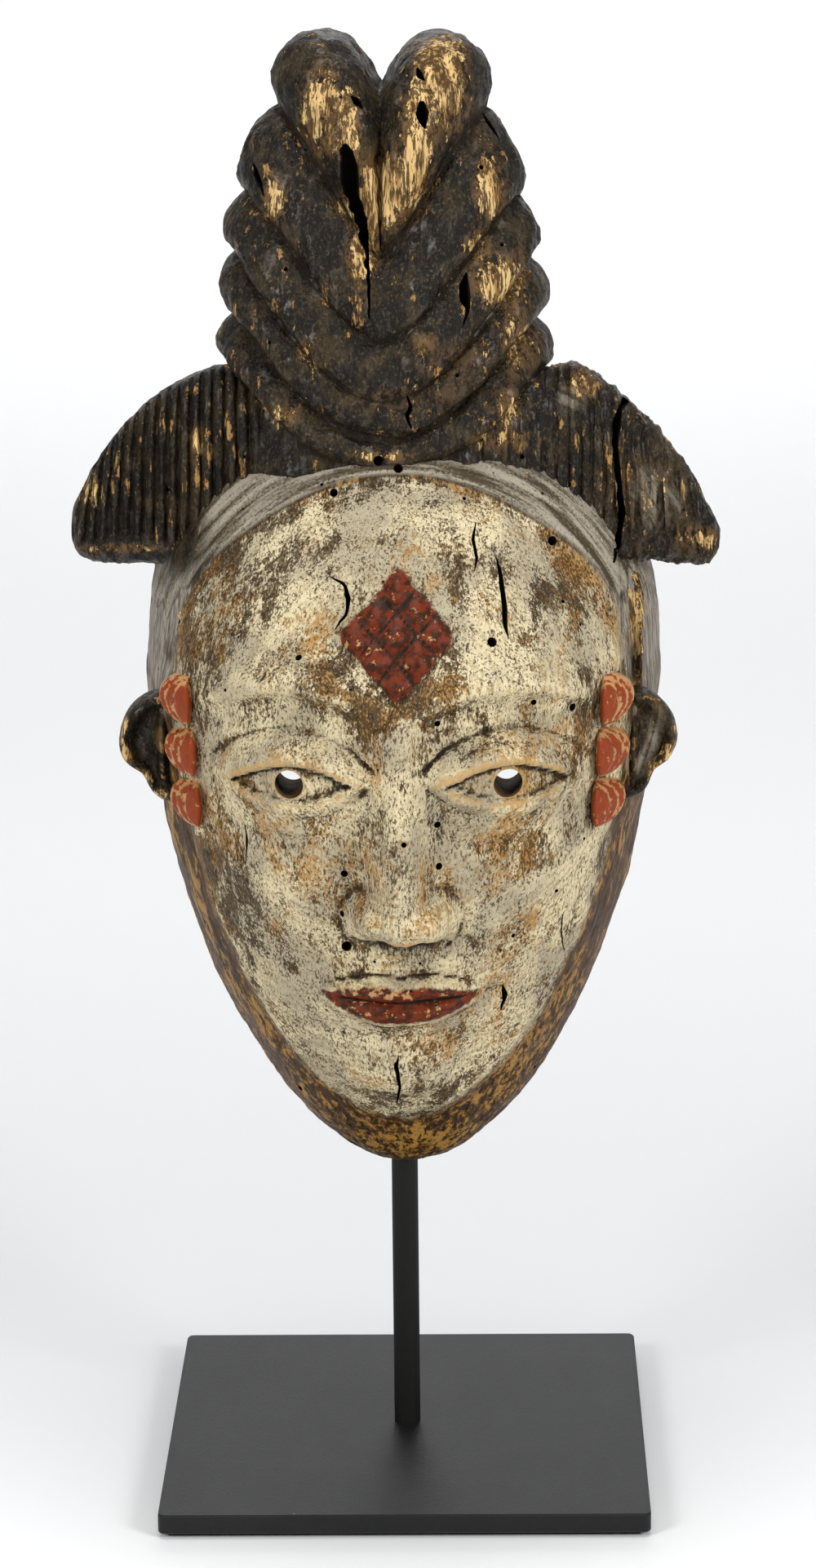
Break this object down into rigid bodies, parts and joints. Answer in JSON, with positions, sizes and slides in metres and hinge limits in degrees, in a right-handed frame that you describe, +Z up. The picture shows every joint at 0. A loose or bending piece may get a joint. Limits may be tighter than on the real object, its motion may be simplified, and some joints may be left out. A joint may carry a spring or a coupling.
{
  "type": "carved wooden mask on a display stand",
  "caption": "Carved wooden face mask with a tall rolled coiffure, side wings and an open hollow back, held upright by a rod on a square steel foot.",
  "frame": {"origin": "centre of the stand's underside, on the surface that the stand rests on", "axes": "+Z up along the stem, -Y the way the face looks, +X to the right of a viewer who faces the mask"},
  "size_m": [0.1892, 0.1732, 0.433],
  "materials": {
    "felt": "dark pressed felt",
    "plate_paint": "matt charcoal powder coat",
    "stem_paint": "matt blackened steel",
    "carved_wood": "worn wood with white kaolin, red ochre and a dark crusted hair patina"
  },
  "bodies": {
    "root": {"base_felt": "felt", "base_plate": "plate_paint", "stem": "stem_paint", "mask": "carved_wood"}
  },
  "joints": []
}
